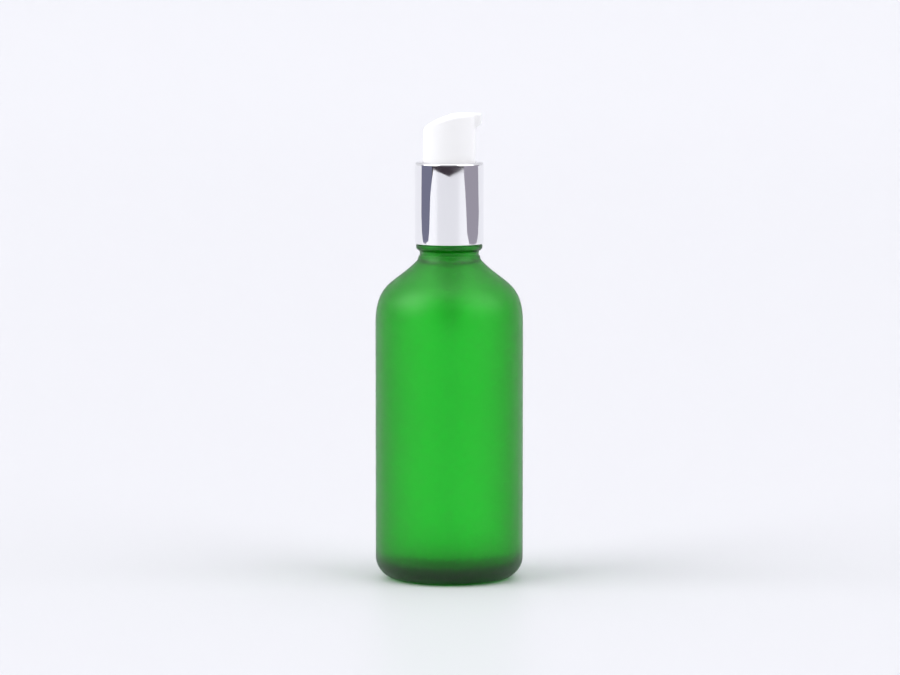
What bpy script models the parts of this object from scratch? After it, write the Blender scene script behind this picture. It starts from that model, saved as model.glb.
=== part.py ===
"""Pump oil bottle: a glass bottle with a screw-on treatment pump, as separate solids.

The frame has +Z up with its origin at the centre of the bottle's underside, and +X is the way
the spout points. Every joint runs along the bottle's own axis, which is the line x = y = 0.
Run it with: blender --background --python part.py
"""

import math

import bmesh
import bpy
from mathutils import Matrix, Vector

MM = 0.001

# Bottle: 100 ml, with an 18 mm neck
BODY_RADIUS = 22.5 * MM
BODY_HEIGHT = 77.8 * MM  # underside to the start of the shoulder
SHOULDER_HEIGHT = 19.6 * MM
SHOULDER_LEAN = 43  # degrees from upright at which the shoulder meets the neck
SHOULDER_LOW_PULL = 0.67  # how far each end's direction carries, as a share of the height
SHOULDER_HIGH_PULL = 0.52
NECK_FILLET = 0.8 * MM  # between the shoulder and the neck
GLASS_WALL = 2.1 * MM
BASE_THICKNESS = 4.5 * MM
HEEL_RADIUS = 6.6 * MM
BEARING_WIDTH = 2.2 * MM  # the flat ring that the bottle stands on
PUSH_UP = 1.2 * MM  # how far the underside is raised inside that ring
NECK_HEIGHT = 2.7 * MM  # shoulder to bead
BEAD_HEIGHT = 2.2 * MM
NECK_STEP = 0.95 * MM  # how far the neck stands out from the finish
BEAD_STEP = 1.15 * MM  # how far the bead stands out from the neck
FINISH_HEIGHT = 10.7 * MM  # the threaded stretch above the bead
FINISH_WALL = 1.8 * MM
NECK_BORE_RADIUS = 6.2 * MM
LIP_ROUND = 0.5 * MM

# Screw thread that joins the closure to the bottle
THREAD_PITCH = 3.0 * MM
THREAD_DEPTH = 0.9 * MM
THREAD_ROOT_WIDTH = 1.6 * MM
THREAD_CREST_WIDTH = 0.65 * MM
THREAD_TURNS = 1.75
CLOSURE_THREAD_TURNS = 1.5
THREAD_RUN_OUT = 40  # degrees over which a thread rises out of its wall
THREAD_SINK = 0.35 * MM  # how far a thread's foot lies inside its wall
THREAD_LEAST_RISE = 0.2  # of its depth, at either end

# Closure: a plastic ring with a thin metal shell
CLOSURE_WALL = 0.75 * MM
SHELL_WALL = 0.4 * MM
SHELL_EDGE_ROUND = 0.75 * MM
LEDGE_THICKNESS = 1.1 * MM
LEDGE_MARGIN = 0.4 * MM  # between the ledge's hole and the wide top of the housing
GUIDE_HEIGHT = 10.7 * MM  # from the ledge to the top of the shell

# Pump
GASKET_THICKNESS = 1.0 * MM
FLANGE_THICKNESS = 1.2 * MM
BARREL_GAP = 0.7 * MM  # between the neck and the wide top of the housing
BARREL_STEP = 1.7 * MM  # how much wider that top is than the cylinder's bore
CYLINDER_WALL = 1.0 * MM
SPRING_ROOM = 14.4 * MM  # the cylinder's length beyond the stroke, for the piston, post and spring
CAP_SKIRT_DEPTH = 5.4 * MM
CAP_SKIRT_WALL = 1.0 * MM
CAP_STEP = 0.75 * MM  # how much wider the cap's skirt is than the cylinder's bore
CAP_GUIDE_LENGTH = 2.9 * MM
CAP_RIM_THICKNESS = 0.6 * MM
CAP_OVERHANG = 0.7 * MM  # how far the rim holds on over the closure's ledge
VENT_RADIUS = 0.35 * MM  # lets air into the bottle above the piston
STEM_SHARE = 0.58  # the stem's radius as a share of the cylinder's
STEM_BORE_SHARE = 0.29
POST_SHARE = 0.42
PISTON_LENGTH = 4.0 * MM
POST_FLANGE_GAP = 0.5 * MM  # lets oil past the flange
POST_FLANGE_THICKNESS = 1.0 * MM
POST_FLUTE_WIDTH = 0.7 * MM
POST_SPIGOT_LENGTH = 5.0 * MM
POST_TAIL_LENGTH = 2.5 * MM  # centres the spring
PISTON_LIP_LENGTH = 1.1 * MM
PISTON_LIP_THICKNESS = 0.4 * MM
PISTON_WAIST_DEPTH = 0.35 * MM
SPRING_WIRE_RADIUS = 0.3 * MM
SPRING_GAP = 0.65 * MM  # between the coils and the cylinder
SPRING_OPEN_TURNS = 5
BALL_RADIUS = 1.5 * MM
BALL_LIFT = 1.2 * MM
BALL_SIDE_GAP = 0.3 * MM
NUB_RADIUS = 0.3 * MM  # the three nubs that keep the ball in
NUB_REACH = 0.35 * MM  # how far they reach in over the ball
INLET_RADIUS = 0.9 * MM
INLET_LENGTH = 1.2 * MM
DIP_TUBE_RADIUS = 2.0 * MM
DIP_TUBE_WALL = 0.65 * MM
DIP_SOCKET_DEPTH = 8.0 * MM
DIP_TUBE_FLOOR_GAP = 1.5 * MM
DIP_CUT_SLOPE = 0.6  # rise over run of the cut at the dip tube's foot

# Motion
STROKE = 5.0 * MM  # of the head
VALVE_GAP = 0.8 * MM  # how far the piston slips on the stem to open the outlet

# Pump head
HEAD_WALL = 1.0 * MM
CROWN_WALL = 1.3 * MM
HEAD_HEIGHT = 20.0 * MM  # skirt to the crown's highest line
CROWN_RADIUS = 18.2 * MM
CROWN_SIDE_RADIUS = 30.8 * MM  # the crown's half width if it ran on past the skirt
CROWN_X = 4.0 * MM  # where the crown is highest
SPOUT_OVERHANG = 1.85 * MM  # how far the spout stands out past the skirt
SPOUT_WIDTH = 5.0 * MM
SPOUT_TIP_HEIGHT = 3.6 * MM
SPOUT_ROOT_DROP = 0.7 * MM  # how much lower the spout's underside is at the skirt
SPOUT_STEP = 0.1 * MM  # how far the spout stands above the crown
CHANNEL_SHARE = 0.82  # the channel's radius as a share of the stem bore's
CHANNEL_WALL = 0.9 * MM
CHANNEL_FLOOR = 1.2 * MM  # from the stem's top to the channel
CHANNEL_DEPTH = 1.85 * MM  # from the spout's top to the channel's centre line
SOCKET_WALL = 0.95 * MM
SOCKET_RECESS = 0.6 * MM
NOZZLE_RADIUS = 1.1 * MM
NOZZLE_BORE_RADIUS = 0.6 * MM
NOZZLE_LENGTH = 3.0 * MM

# Clearances
SEAT_GAP = 0.1 * MM  # between faces that press on each other
SLIDE_GAP = 0.15 * MM  # beside a piece that slides or is pushed in
TRAVEL_GAP = 0.4 * MM  # left at the end of the head's travel
THREAD_GAP = 0.3 * MM

# Mesh fineness
ROUND = 40
SMALL_ROUND = 24
CURVE_STEPS = 8
WELD_DISTANCE = 0.002 * MM

# Heights that follow from the sizes above
SHOULDER_TOP_Z = BODY_HEIGHT + SHOULDER_HEIGHT
BEAD_Z = SHOULDER_TOP_Z + NECK_HEIGHT
BEAD_TOP_Z = BEAD_Z + BEAD_HEIGHT
MOUTH_Z = BEAD_TOP_Z + FINISH_HEIGHT
GASKET_Z = MOUTH_Z + SEAT_GAP
FLANGE_Z = GASKET_Z + GASKET_THICKNESS + SEAT_GAP
FLANGE_TOP_Z = FLANGE_Z + FLANGE_THICKNESS
LEDGE_Z = FLANGE_TOP_Z + SEAT_GAP
LEDGE_TOP_Z = LEDGE_Z + LEDGE_THICKNESS
SHELL_Z = BEAD_TOP_Z + 2 * SEAT_GAP
SHELL_TOP_Z = LEDGE_TOP_Z + GUIDE_HEIGHT
HEAD_Z = LEDGE_TOP_Z + TRAVEL_GAP + STROKE
CAP_SKIRT_Z = FLANGE_TOP_Z + SEAT_GAP - CAP_SKIRT_DEPTH
PISTON_Z = CAP_SKIRT_Z - VALVE_GAP - 3 * SEAT_GAP - PISTON_LENGTH
CYLINDER_FLOOR_Z = CAP_SKIRT_Z - STROKE - SPRING_ROOM

# Radii that follow from the sizes above
BARREL_RADIUS = NECK_BORE_RADIUS - BARREL_GAP
CYLINDER_RADIUS = BARREL_RADIUS - BARREL_STEP
FINISH_RADIUS = NECK_BORE_RADIUS + FINISH_WALL
NECK_RADIUS = FINISH_RADIUS + NECK_STEP
THREAD_RADIUS = FINISH_RADIUS + THREAD_DEPTH
BEAD_RADIUS = NECK_RADIUS + BEAD_STEP
SOCKET_RADIUS = THREAD_RADIUS + THREAD_GAP  # inside of the closure, round the neck
CLOSURE_RADIUS = SOCKET_RADIUS + CLOSURE_WALL
SHELL_RADIUS = CLOSURE_RADIUS + SLIDE_GAP + SHELL_WALL
CLOSURE_HOLE_RADIUS = BARREL_RADIUS + LEDGE_MARGIN
CAP_RIM_RADIUS = CLOSURE_HOLE_RADIUS + CAP_OVERHANG
HEAD_RADIUS = CAP_RIM_RADIUS + 2 * SLIDE_GAP + HEAD_WALL
GUIDE_RADIUS = HEAD_RADIUS + 2 * SLIDE_GAP
CAP_SKIRT_RADIUS = CYLINDER_RADIUS + CAP_STEP
CAP_SEAT_RADIUS = CAP_SKIRT_RADIUS + SLIDE_GAP
STEM_RADIUS = STEM_SHARE * CYLINDER_RADIUS
STEM_BORE_RADIUS = STEM_BORE_SHARE * CYLINDER_RADIUS
CHANNEL_RADIUS = CHANNEL_SHARE * STEM_BORE_RADIUS
POST_RADIUS = POST_SHARE * CYLINDER_RADIUS
POST_FLANGE_RADIUS = CYLINDER_RADIUS - POST_FLANGE_GAP
POST_SPIGOT_RADIUS = STEM_BORE_RADIUS - SLIDE_GAP
SPRING_MEAN_RADIUS = CYLINDER_RADIUS - SPRING_GAP - SPRING_WIRE_RADIUS
SPOUT_REACH = HEAD_RADIUS + SPOUT_OVERHANG
BALL_CAGE_RADIUS = BALL_RADIUS + BALL_SIDE_GAP
DIP_SOCKET_RADIUS = DIP_TUBE_RADIUS + SLIDE_GAP
TAIL_RADIUS = DIP_SOCKET_RADIUS + CYLINDER_WALL

COLOURS = {
    "green_glass": ((0.045, 0.42, 0.075), 0.45, 0.0),
    "polished_aluminium": ((0.86, 0.86, 0.89), 0.06, 1.0),
    "white_plastic": ((0.9, 0.9, 0.89), 0.3, 0.0),
    "natural_plastic": ((0.8, 0.82, 0.8), 0.4, 0.0),
    "seal_plastic": ((0.72, 0.76, 0.8), 0.55, 0.0),
    "spring_steel": ((0.6, 0.6, 0.62), 0.25, 1.0),
}


def clear_scene():
    """Removes whatever the file holds when the script starts."""
    for obj in list(bpy.data.objects):
        bpy.data.objects.remove(obj)


def material(name):
    """The Principled material of that name, made the first time it is asked for."""
    found = bpy.data.materials.get(name)
    if found:
        return found
    colour, roughness, metallic = COLOURS[name]
    made = bpy.data.materials.new(name)
    made.use_nodes = True
    shader = made.node_tree.nodes["Principled BSDF"]
    shader.inputs["Base Color"].default_value = (*colour, 1.0)
    shader.inputs["Roughness"].default_value = roughness
    shader.inputs["Metallic"].default_value = metallic
    return made


def group(name, height, parent=None):
    """An empty on the axis at that height, which a moving group of pieces hangs on."""
    empty = bpy.data.objects.new(name, None)
    bpy.context.scene.collection.objects.link(empty)
    empty.parent = parent
    empty.location.z = height - (parent.matrix_world.translation.z if parent else 0)
    bpy.context.view_layer.update()
    return empty


def add_object(name, data, height=0.0, parent=None, finish=None):
    """Links the mesh or curve as an object whose origin is on the axis at that height."""
    obj = bpy.data.objects.new(name, data)
    bpy.context.scene.collection.objects.link(obj)
    obj.parent = parent
    obj.location.z = height - (parent.matrix_world.translation.z if parent else 0)
    if finish:
        data.materials.append(material(finish))
    bpy.context.view_layer.update()
    return obj


def mesh_from(bm, name):
    """Turns the bmesh into a smooth-shaded mesh whose faces point out."""
    bmesh.ops.recalc_face_normals(bm, faces=bm.faces)
    mesh = bpy.data.meshes.new(name)
    bm.to_mesh(mesh)
    bm.free()
    mesh.shade_smooth()
    mesh.set_sharp_from_angle(angle=math.radians(35))
    return mesh


def turned_mesh(name, outline, steps):
    """A mesh spun about +Z from an outline of (radius, height) points. The outline closes on
    itself, or starts and ends on the axis."""
    bm = bmesh.new()
    points = [bm.verts.new((radius, 0, height)) for radius, height in outline]
    follows = points[1:] + points[:1]
    on_axis = outline[0][0] == 0 and outline[-1][0] == 0
    pairs = list(zip(points, follows))[: -1 if on_axis else None]
    edges = [bm.edges.new(pair) for pair in pairs]
    bmesh.ops.spin(
        bm,
        geom=points + edges,
        axis=(0, 0, 1),
        cent=(0, 0, 0),
        angle=math.tau,
        steps=steps,
        use_merge=True,
    )
    bmesh.ops.remove_doubles(bm, verts=bm.verts, dist=0.0001 * MM)
    return mesh_from(bm, name)


def turned(name, outline, height=0.0, parent=None, finish=None, steps=ROUND):
    """An object turned about the bottle's axis."""
    return add_object(name, turned_mesh(name, outline, steps), height, parent, finish)


def prism(name, outline, width, parent=None, height=0.0):
    """An (x, z) outline extruded to that width, half of it on each side of y = 0."""
    bm = bmesh.new()
    face = bm.faces.new([bm.verts.new((x, -width / 2, z)) for x, z in outline])
    pulled = bmesh.ops.extrude_face_region(bm, geom=[face])
    moved = [e for e in pulled["geom"] if isinstance(e, bmesh.types.BMVert)]
    bmesh.ops.translate(bm, verts=moved, vec=(0, width, 0))
    return add_object(name, mesh_from(bm, name), height, parent)


def rod(name, radius, start, end, parent=None, height=0.0, steps=SMALL_ROUND):
    """A plain cylinder between two points, turned half a facet so that it has a flat on top."""
    start, end = Vector(start), Vector(end)
    along = end - start
    point_along = along.to_track_quat("Z", "Y").to_matrix().to_4x4()
    half_facet = Matrix.Rotation(math.pi / steps, 4, "Z")
    place = Matrix.Translation((start + end) / 2) @ point_along @ half_facet
    bm = bmesh.new()
    bmesh.ops.create_cone(
        bm,
        cap_ends=True,
        segments=steps,
        radius1=radius,
        radius2=radius,
        depth=along.length,
        matrix=place,
    )
    return add_object(name, mesh_from(bm, name), height, parent)


def combine(obj, other, operation):
    """Joins the helper to the object or cuts it from it, and leaves the helper out of the model."""
    step = obj.modifiers.new(f"{operation.lower()}_{other.name}", "BOOLEAN")
    step.operation = operation
    step.solver = "EXACT"
    step.object = other
    tidy = obj.modifiers.new(f"weld_{other.name}", "WELD")
    tidy.merge_threshold = WELD_DISTANCE
    other.hide_render = True
    other.display_type = "WIRE"


def arc(centre, radii, start, end, steps=CURVE_STEPS):
    """Points along an arc or a quarter of an oval, with its angles in degrees."""
    (cx, cz), (rx, rz) = centre, radii
    angles = [math.radians(start + (end - start) * i / steps) for i in range(steps + 1)]
    return [(cx + rx * math.cos(a), cz + rz * math.sin(a)) for a in angles]


def bezier(a, b, c, d, steps=CURVE_STEPS):
    """Points along a cubic curve from a to d, with b and c as its handles."""
    points = []
    for i in range(steps + 1):
        t = i / steps
        weights = ((1 - t) ** 3, 3 * (1 - t) ** 2 * t, 3 * (1 - t) * t**2, t**3)
        points.append(tuple(sum(w * p[k] for w, p in zip(weights, (a, b, c, d))) for k in (0, 1)))
    return points


def offset_inward(points, distance):
    """The same run of (radius, height) points moved towards the axis, square to the run."""
    moved = []
    for i, (radius, height) in enumerate(points):
        before = points[max(i - 1, 0)]
        after = points[min(i + 1, len(points) - 1)]
        along = Vector((after[0] - before[0], after[1] - before[1])).normalized()
        moved.append((radius - distance * along.y, height + distance * along.x))
    return moved


def thread(name, wall_radius, depth, first_z, turns, parent=None, height=0.0):
    """A right-hand thread as a closed ridge that climbs once round for each turn from first_z. A
    negative depth points inwards. Both ends run out into the wall."""
    outward = math.copysign(1, depth)
    steps = round(turns * ROUND)
    run_out = THREAD_RUN_OUT / 360 * ROUND
    bm = bmesh.new()
    sections = []
    for i in range(steps + 1):
        angle = math.tau * i / ROUND
        rise = min(1.0, i / run_out, (steps - i) / run_out)
        foot = wall_radius - outward * THREAD_SINK
        crest = foot + (depth + outward * THREAD_SINK) * max(rise, THREAD_LEAST_RISE)
        middle = first_z + THREAD_PITCH * i / ROUND
        corners = (
            (foot, -THREAD_ROOT_WIDTH / 2),
            (crest, -THREAD_CREST_WIDTH / 2),
            (crest, THREAD_CREST_WIDTH / 2),
            (foot, THREAD_ROOT_WIDTH / 2),
        )
        sections.append(
            [
                bm.verts.new((r * math.cos(angle), r * math.sin(angle), middle + z))
                for r, z in corners
            ]
        )
    for near, far in zip(sections, sections[1:]):
        for k in range(4):
            bm.faces.new((near[k], near[(k + 1) % 4], far[(k + 1) % 4], far[k]))
    bm.faces.new(sections[0])
    bm.faces.new(sections[-1][::-1])
    return add_object(name, mesh_from(bm, name), height, parent)


def shoulder_outline():
    """The bottle's shoulder from the body up to the neck, as one cubic curve."""
    lean = math.radians(SHOULDER_LEAN)
    top = Vector((NECK_RADIUS + NECK_FILLET, SHOULDER_TOP_Z))
    pull = SHOULDER_HIGH_PULL * SHOULDER_HEIGHT
    handle = Vector((math.sin(lean), -math.cos(lean))) * pull
    start = (BODY_RADIUS, BODY_HEIGHT)
    start_handle = (BODY_RADIUS, BODY_HEIGHT + SHOULDER_LOW_PULL * SHOULDER_HEIGHT)
    return bezier(start, start_handle, tuple(top + handle), tuple(top))


def build_bottle():
    """The glass bottle: one open shell with a thick base, a pouring bead and a threaded neck."""
    bearing_radius = BODY_RADIUS - HEEL_RADIUS
    shoulder = shoulder_outline()
    inner_wall = offset_inward(shoulder, GLASS_WALL)
    inner_radius = inner_wall[0][0]
    inner_heel = max(HEEL_RADIUS - GLASS_WALL, LIP_ROUND)
    lip = LIP_ROUND
    outline = [
        (0, PUSH_UP),
        (bearing_radius - BEARING_WIDTH - 2 * PUSH_UP, PUSH_UP),
        (bearing_radius - BEARING_WIDTH, 0),
        *arc((bearing_radius, HEEL_RADIUS), (HEEL_RADIUS,) * 2, -90, 0, 6),
        *shoulder,
        (NECK_RADIUS, SHOULDER_TOP_Z + 0.55 * NECK_HEIGHT),
        (NECK_RADIUS, BEAD_Z),
        (BEAD_RADIUS - 0.15 * MM, BEAD_Z + 0.35 * BEAD_HEIGHT),
        (BEAD_RADIUS, BEAD_Z + 0.6 * BEAD_HEIGHT),
        (BEAD_RADIUS - 0.2 * MM, BEAD_TOP_Z),
        (FINISH_RADIUS, BEAD_TOP_Z),
        *arc((FINISH_RADIUS - lip, MOUTH_Z - lip), (lip, lip), 0, 90, 2),
        *arc((NECK_BORE_RADIUS + lip, MOUTH_Z - lip), (lip, lip), 90, 180, 2),
        (NECK_BORE_RADIUS, SHOULDER_TOP_Z),
        *inner_wall[::-1],
        *arc(
            (inner_radius - inner_heel, BASE_THICKNESS + inner_heel),
            (inner_heel,) * 2,
            0,
            -90,
            4,
        ),
        (0, BASE_THICKNESS),
    ]
    bottle = turned("bottle", outline, finish="green_glass")
    first_z = MOUTH_Z - THREAD_ROOT_WIDTH - LIP_ROUND - THREAD_TURNS * THREAD_PITCH
    combine(
        bottle,
        thread("neck_thread", FINISH_RADIUS, THREAD_DEPTH, first_z, THREAD_TURNS),
        "UNION",
    )
    return first_z


def build_closure(parent, neck_thread_z):
    """The plastic screw ring, whose upper tube guides the head, and the metal shell over it."""
    bottom = 2 * SEAT_GAP
    ledge, ledge_top = LEDGE_Z - SHELL_Z, LEDGE_TOP_Z - SHELL_Z
    top = SHELL_TOP_Z - SHELL_Z
    tube_top = top - SHELL_WALL - SEAT_GAP
    outline = [
        (SOCKET_RADIUS, bottom),
        (CLOSURE_RADIUS, bottom),
        (CLOSURE_RADIUS, tube_top - SHELL_EDGE_ROUND),
        (CLOSURE_RADIUS - SHELL_EDGE_ROUND, tube_top),
        (GUIDE_RADIUS, tube_top),
        (GUIDE_RADIUS, ledge_top),
        (CLOSURE_HOLE_RADIUS, ledge_top),
        (CLOSURE_HOLE_RADIUS, ledge),
        (SOCKET_RADIUS, ledge),
    ]
    ring = turned("closure_ring", outline, SHELL_Z, parent, "white_plastic")
    # The inner thread starts half a pitch above the neck's, at the same angle, so it runs in its groove.
    first_z = neck_thread_z + THREAD_PITCH / 2 - SHELL_Z
    turns = CLOSURE_THREAD_TURNS
    ridge = thread("closure_thread", SOCKET_RADIUS, -THREAD_DEPTH, first_z, turns, parent, SHELL_Z)
    combine(ring, ridge, "UNION")

    edge, inner_edge = SHELL_EDGE_ROUND, SHELL_EDGE_ROUND - SHELL_WALL / 2
    inside = SHELL_RADIUS - SHELL_WALL
    lip = GUIDE_RADIUS
    outline = [
        (inside, 0),
        (SHELL_RADIUS, 0),
        *arc((SHELL_RADIUS - edge, top - edge), (edge, edge), 0, 90, 4),
        (lip, top),
        (lip, top - SHELL_WALL),
        *arc(
            (inside - inner_edge, top - SHELL_WALL - inner_edge),
            (inner_edge, inner_edge),
            90,
            0,
            3,
        ),
    ]
    turned("collar_shell", outline, SHELL_Z, parent, "polished_aluminium")


def build_housing(parent):
    """The pump's cylinder, with its flange, its ball cage and the socket for the dip tube."""
    floor = CYLINDER_FLOOR_Z - FLANGE_Z
    skirt = CAP_SKIRT_Z - FLANGE_Z - SEAT_GAP
    barrel_end = skirt - 2 * CYLINDER_WALL
    cage_depth = BALL_LIFT + 2 * BALL_RADIUS + SLIDE_GAP
    seat_height = BALL_CAGE_RADIUS - INLET_RADIUS
    seat = floor - cage_depth
    inlet = seat - seat_height
    tube_stop = inlet - INLET_LENGTH
    foot = tube_stop - DIP_SOCKET_DEPTH
    cylinder_outside = CYLINDER_RADIUS + CYLINDER_WALL
    flange_radius = SOCKET_RADIUS - THREAD_DEPTH - 2 * SLIDE_GAP
    outline = [
        (CAP_SEAT_RADIUS, FLANGE_THICKNESS),
        (flange_radius, FLANGE_THICKNESS),
        (flange_radius, 0),
        (BARREL_RADIUS, 0),
        (BARREL_RADIUS, barrel_end),
        (cylinder_outside, barrel_end - CYLINDER_WALL),
        (cylinder_outside, floor - CYLINDER_WALL / 2),
        (TAIL_RADIUS, floor - 2.5 * CYLINDER_WALL),
        (TAIL_RADIUS, foot),
        (DIP_SOCKET_RADIUS, foot),
        (DIP_SOCKET_RADIUS, tube_stop),
        (INLET_RADIUS, tube_stop),
        (INLET_RADIUS, inlet),
        (BALL_CAGE_RADIUS, seat),
        (BALL_CAGE_RADIUS, floor),
        (CYLINDER_RADIUS, floor),
        (CYLINDER_RADIUS, skirt),
        (CAP_SEAT_RADIUS, skirt),
    ]
    housing = turned("pump_housing", outline, FLANGE_Z, parent, "natural_plastic", SMALL_ROUND)
    # Three nubs at the mouth of the cage keep the ball in and let the oil past.
    nub_z = Vector((0, 0, floor - SEAT_GAP - NUB_RADIUS))
    nub_inner = BALL_RADIUS - NUB_REACH
    nub_outer = BALL_CAGE_RADIUS + NUB_REACH
    for i in range(3):
        angle = math.tau * i / 3
        way = Vector((math.cos(angle), math.sin(angle), 0))
        ends = (way * nub_inner + nub_z, way * nub_outer + nub_z)
        nub = rod(f"ball_nub_{i + 1}", NUB_RADIUS, *ends, parent, FLANGE_Z, 8)
        combine(housing, nub, "UNION")

    vent_z = skirt - VENT_RADIUS - SEAT_GAP
    vent_end = (BARREL_RADIUS + CYLINDER_WALL, 0, vent_z)
    vent = rod("vent_hole", VENT_RADIUS, (INLET_RADIUS, 0, vent_z), vent_end, parent, FLANGE_Z, 8)
    combine(housing, vent, "DIFFERENCE")

    # A ball touches a 45 degree seat when its centre is root two radii above the cone's point.
    cone_point = FLANGE_Z + inlet - INLET_RADIUS
    ball_z = cone_point + math.sqrt(2) * (BALL_RADIUS + SEAT_GAP)
    return ball_z, FLANGE_Z + tube_stop


def build_ball(parent, height):
    """The inlet valve's steel ball."""
    bm = bmesh.new()
    bmesh.ops.create_uvsphere(bm, u_segments=16, v_segments=10, radius=BALL_RADIUS)
    add_object("inlet_ball", mesh_from(bm, "inlet_ball"), height, parent, "spring_steel")


def build_gasket(parent):
    """The soft washer between the glass lip and the housing's flange."""
    inner = BARREL_RADIUS + 2 * SLIDE_GAP
    outer = FINISH_RADIUS + SEAT_GAP
    outline = [
        (inner, 0),
        (outer, 0),
        (outer, GASKET_THICKNESS),
        (inner, GASKET_THICKNESS),
    ]
    turned("neck_gasket", outline, GASKET_Z, parent, "seal_plastic")


def build_housing_cap(parent):
    """The cap that plugs the housing's top, guides the stem and stops the piston. The closure's
    ledge is held between its rim and the housing's flange."""
    seat = FLANGE_TOP_Z + SEAT_GAP - CAP_SKIRT_Z
    rim = LEDGE_TOP_Z + SEAT_GAP - CAP_SKIRT_Z
    top = rim + CAP_RIM_THICKNESS
    collar = CLOSURE_HOLE_RADIUS - 2 * SLIDE_GAP
    guide = STEM_RADIUS + SLIDE_GAP
    inside = CAP_SKIRT_RADIUS - CAP_SKIRT_WALL
    outline = [
        (inside, 0),
        (CAP_SKIRT_RADIUS, 0),
        (CAP_SKIRT_RADIUS, seat),
        (collar, seat),
        (collar, rim),
        (CAP_RIM_RADIUS, rim),
        (CAP_RIM_RADIUS, top),
        (guide, top),
        (guide, top - CAP_GUIDE_LENGTH),
        (inside, top - CAP_GUIDE_LENGTH),
    ]
    turned("housing_cap", outline, CAP_SKIRT_Z, parent, "natural_plastic", SMALL_ROUND)


def build_dip_tube(parent, top_z):
    """The tube that reaches the bottle's floor, with its foot cut at a slope."""
    top_z -= SEAT_GAP
    foot_z = BASE_THICKNESS + DIP_TUBE_FLOOR_GAP
    bore = DIP_TUBE_RADIUS - DIP_TUBE_WALL
    outline = [
        (bore, foot_z - top_z),
        (DIP_TUBE_RADIUS, foot_z - top_z),
        (DIP_TUBE_RADIUS, 0),
        (bore, 0),
    ]
    tube = turned("dip_tube", outline, top_z, parent, "natural_plastic", SMALL_ROUND)
    for vertex in tube.data.vertices:
        if vertex.co.z < (foot_z - top_z) / 2:
            vertex.co.z += (vertex.co.x + DIP_TUBE_RADIUS) * DIP_CUT_SLOPE


def build_stem(parent, top_z):
    """The hollow stem that carries the oil up to the head."""
    foot_z = PISTON_Z + PISTON_LENGTH + VALVE_GAP + SEAT_GAP
    length = top_z - foot_z
    outline = [
        (STEM_BORE_RADIUS, 0),
        (STEM_RADIUS, 0),
        (STEM_RADIUS, length),
        (STEM_BORE_RADIUS, length),
    ]
    turned("stem", outline, foot_z, parent, "natural_plastic", SMALL_ROUND)
    return foot_z


def build_valve_post(parent, stem_foot_z):
    """The post pushed into the stem's foot. Its flange closes the piston's bore from below, and
    the spring pushes on it."""
    flange_top_z = PISTON_Z - SEAT_GAP
    flange = -POST_FLANGE_THICKNESS
    shoulder = stem_foot_z - SEAT_GAP - flange_top_z
    spigot_top = shoulder + POST_SPIGOT_LENGTH
    guide = SPRING_MEAN_RADIUS - SPRING_WIRE_RADIUS - 2 * SLIDE_GAP
    tail = flange - POST_TAIL_LENGTH
    chamfer = 3 * SEAT_GAP
    outline = [
        (0, tail),
        (guide - chamfer, tail),
        (guide, tail + chamfer),
        (guide, flange),
        (POST_FLANGE_RADIUS, flange),
        (POST_FLANGE_RADIUS, flange / 2),
        ((POST_RADIUS + POST_FLANGE_RADIUS) / 2, 0),
        (POST_RADIUS, 0),
        (POST_RADIUS, shoulder),
        (POST_SPIGOT_RADIUS, shoulder),
        (POST_SPIGOT_RADIUS, spigot_top - chamfer),
        (POST_SPIGOT_RADIUS - chamfer, spigot_top),
        (0, spigot_top),
    ]
    post = turned("valve_post", outline, flange_top_z, parent, "white_plastic", SMALL_ROUND)
    # Two flutes lead the oil from the open valve up into the stem's bore.
    deep, wide = POST_SPIGOT_RADIUS / 2, POST_RADIUS + chamfer
    low, high = 4 * SEAT_GAP, spigot_top + chamfer
    for side in (-1, 1):
        flute = [(side * deep, low), (side * wide, low), (side * wide, high), (side * deep, high)]
        cutter = prism(f"flute_{side}", flute, POST_FLUTE_WIDTH, parent, flange_top_z)
        combine(post, cutter, "DIFFERENCE")
    return flange_top_z + flange


def build_piston(parent):
    """The soft piston, with a lip at each end that wipes the cylinder."""
    bore = POST_RADIUS + SLIDE_GAP
    lip = CYLINDER_RADIUS - SLIDE_GAP
    waist = lip - PISTON_WAIST_DEPTH
    lip_inner = lip - PISTON_LIP_THICKNESS
    notch = waist - PISTON_LIP_THICKNESS + SEAT_GAP / 2
    deep = PISTON_LIP_LENGTH
    top = PISTON_LENGTH
    recess = deep / 2
    sleeve = bore + 0.2 * CYLINDER_RADIUS
    outline = [
        (bore, recess / 2),
        (sleeve, recess / 2),
        (notch, deep),
        (lip_inner, 0),
        (lip, 0),
        (waist, deep),
        (waist, top - deep),
        (lip, top),
        (lip_inner, top),
        (notch, top - deep),
        (sleeve, top - recess),
        (bore, top - recess),
    ]
    turned("piston_seal", outline, PISTON_Z, parent, "seal_plastic", SMALL_ROUND)


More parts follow.
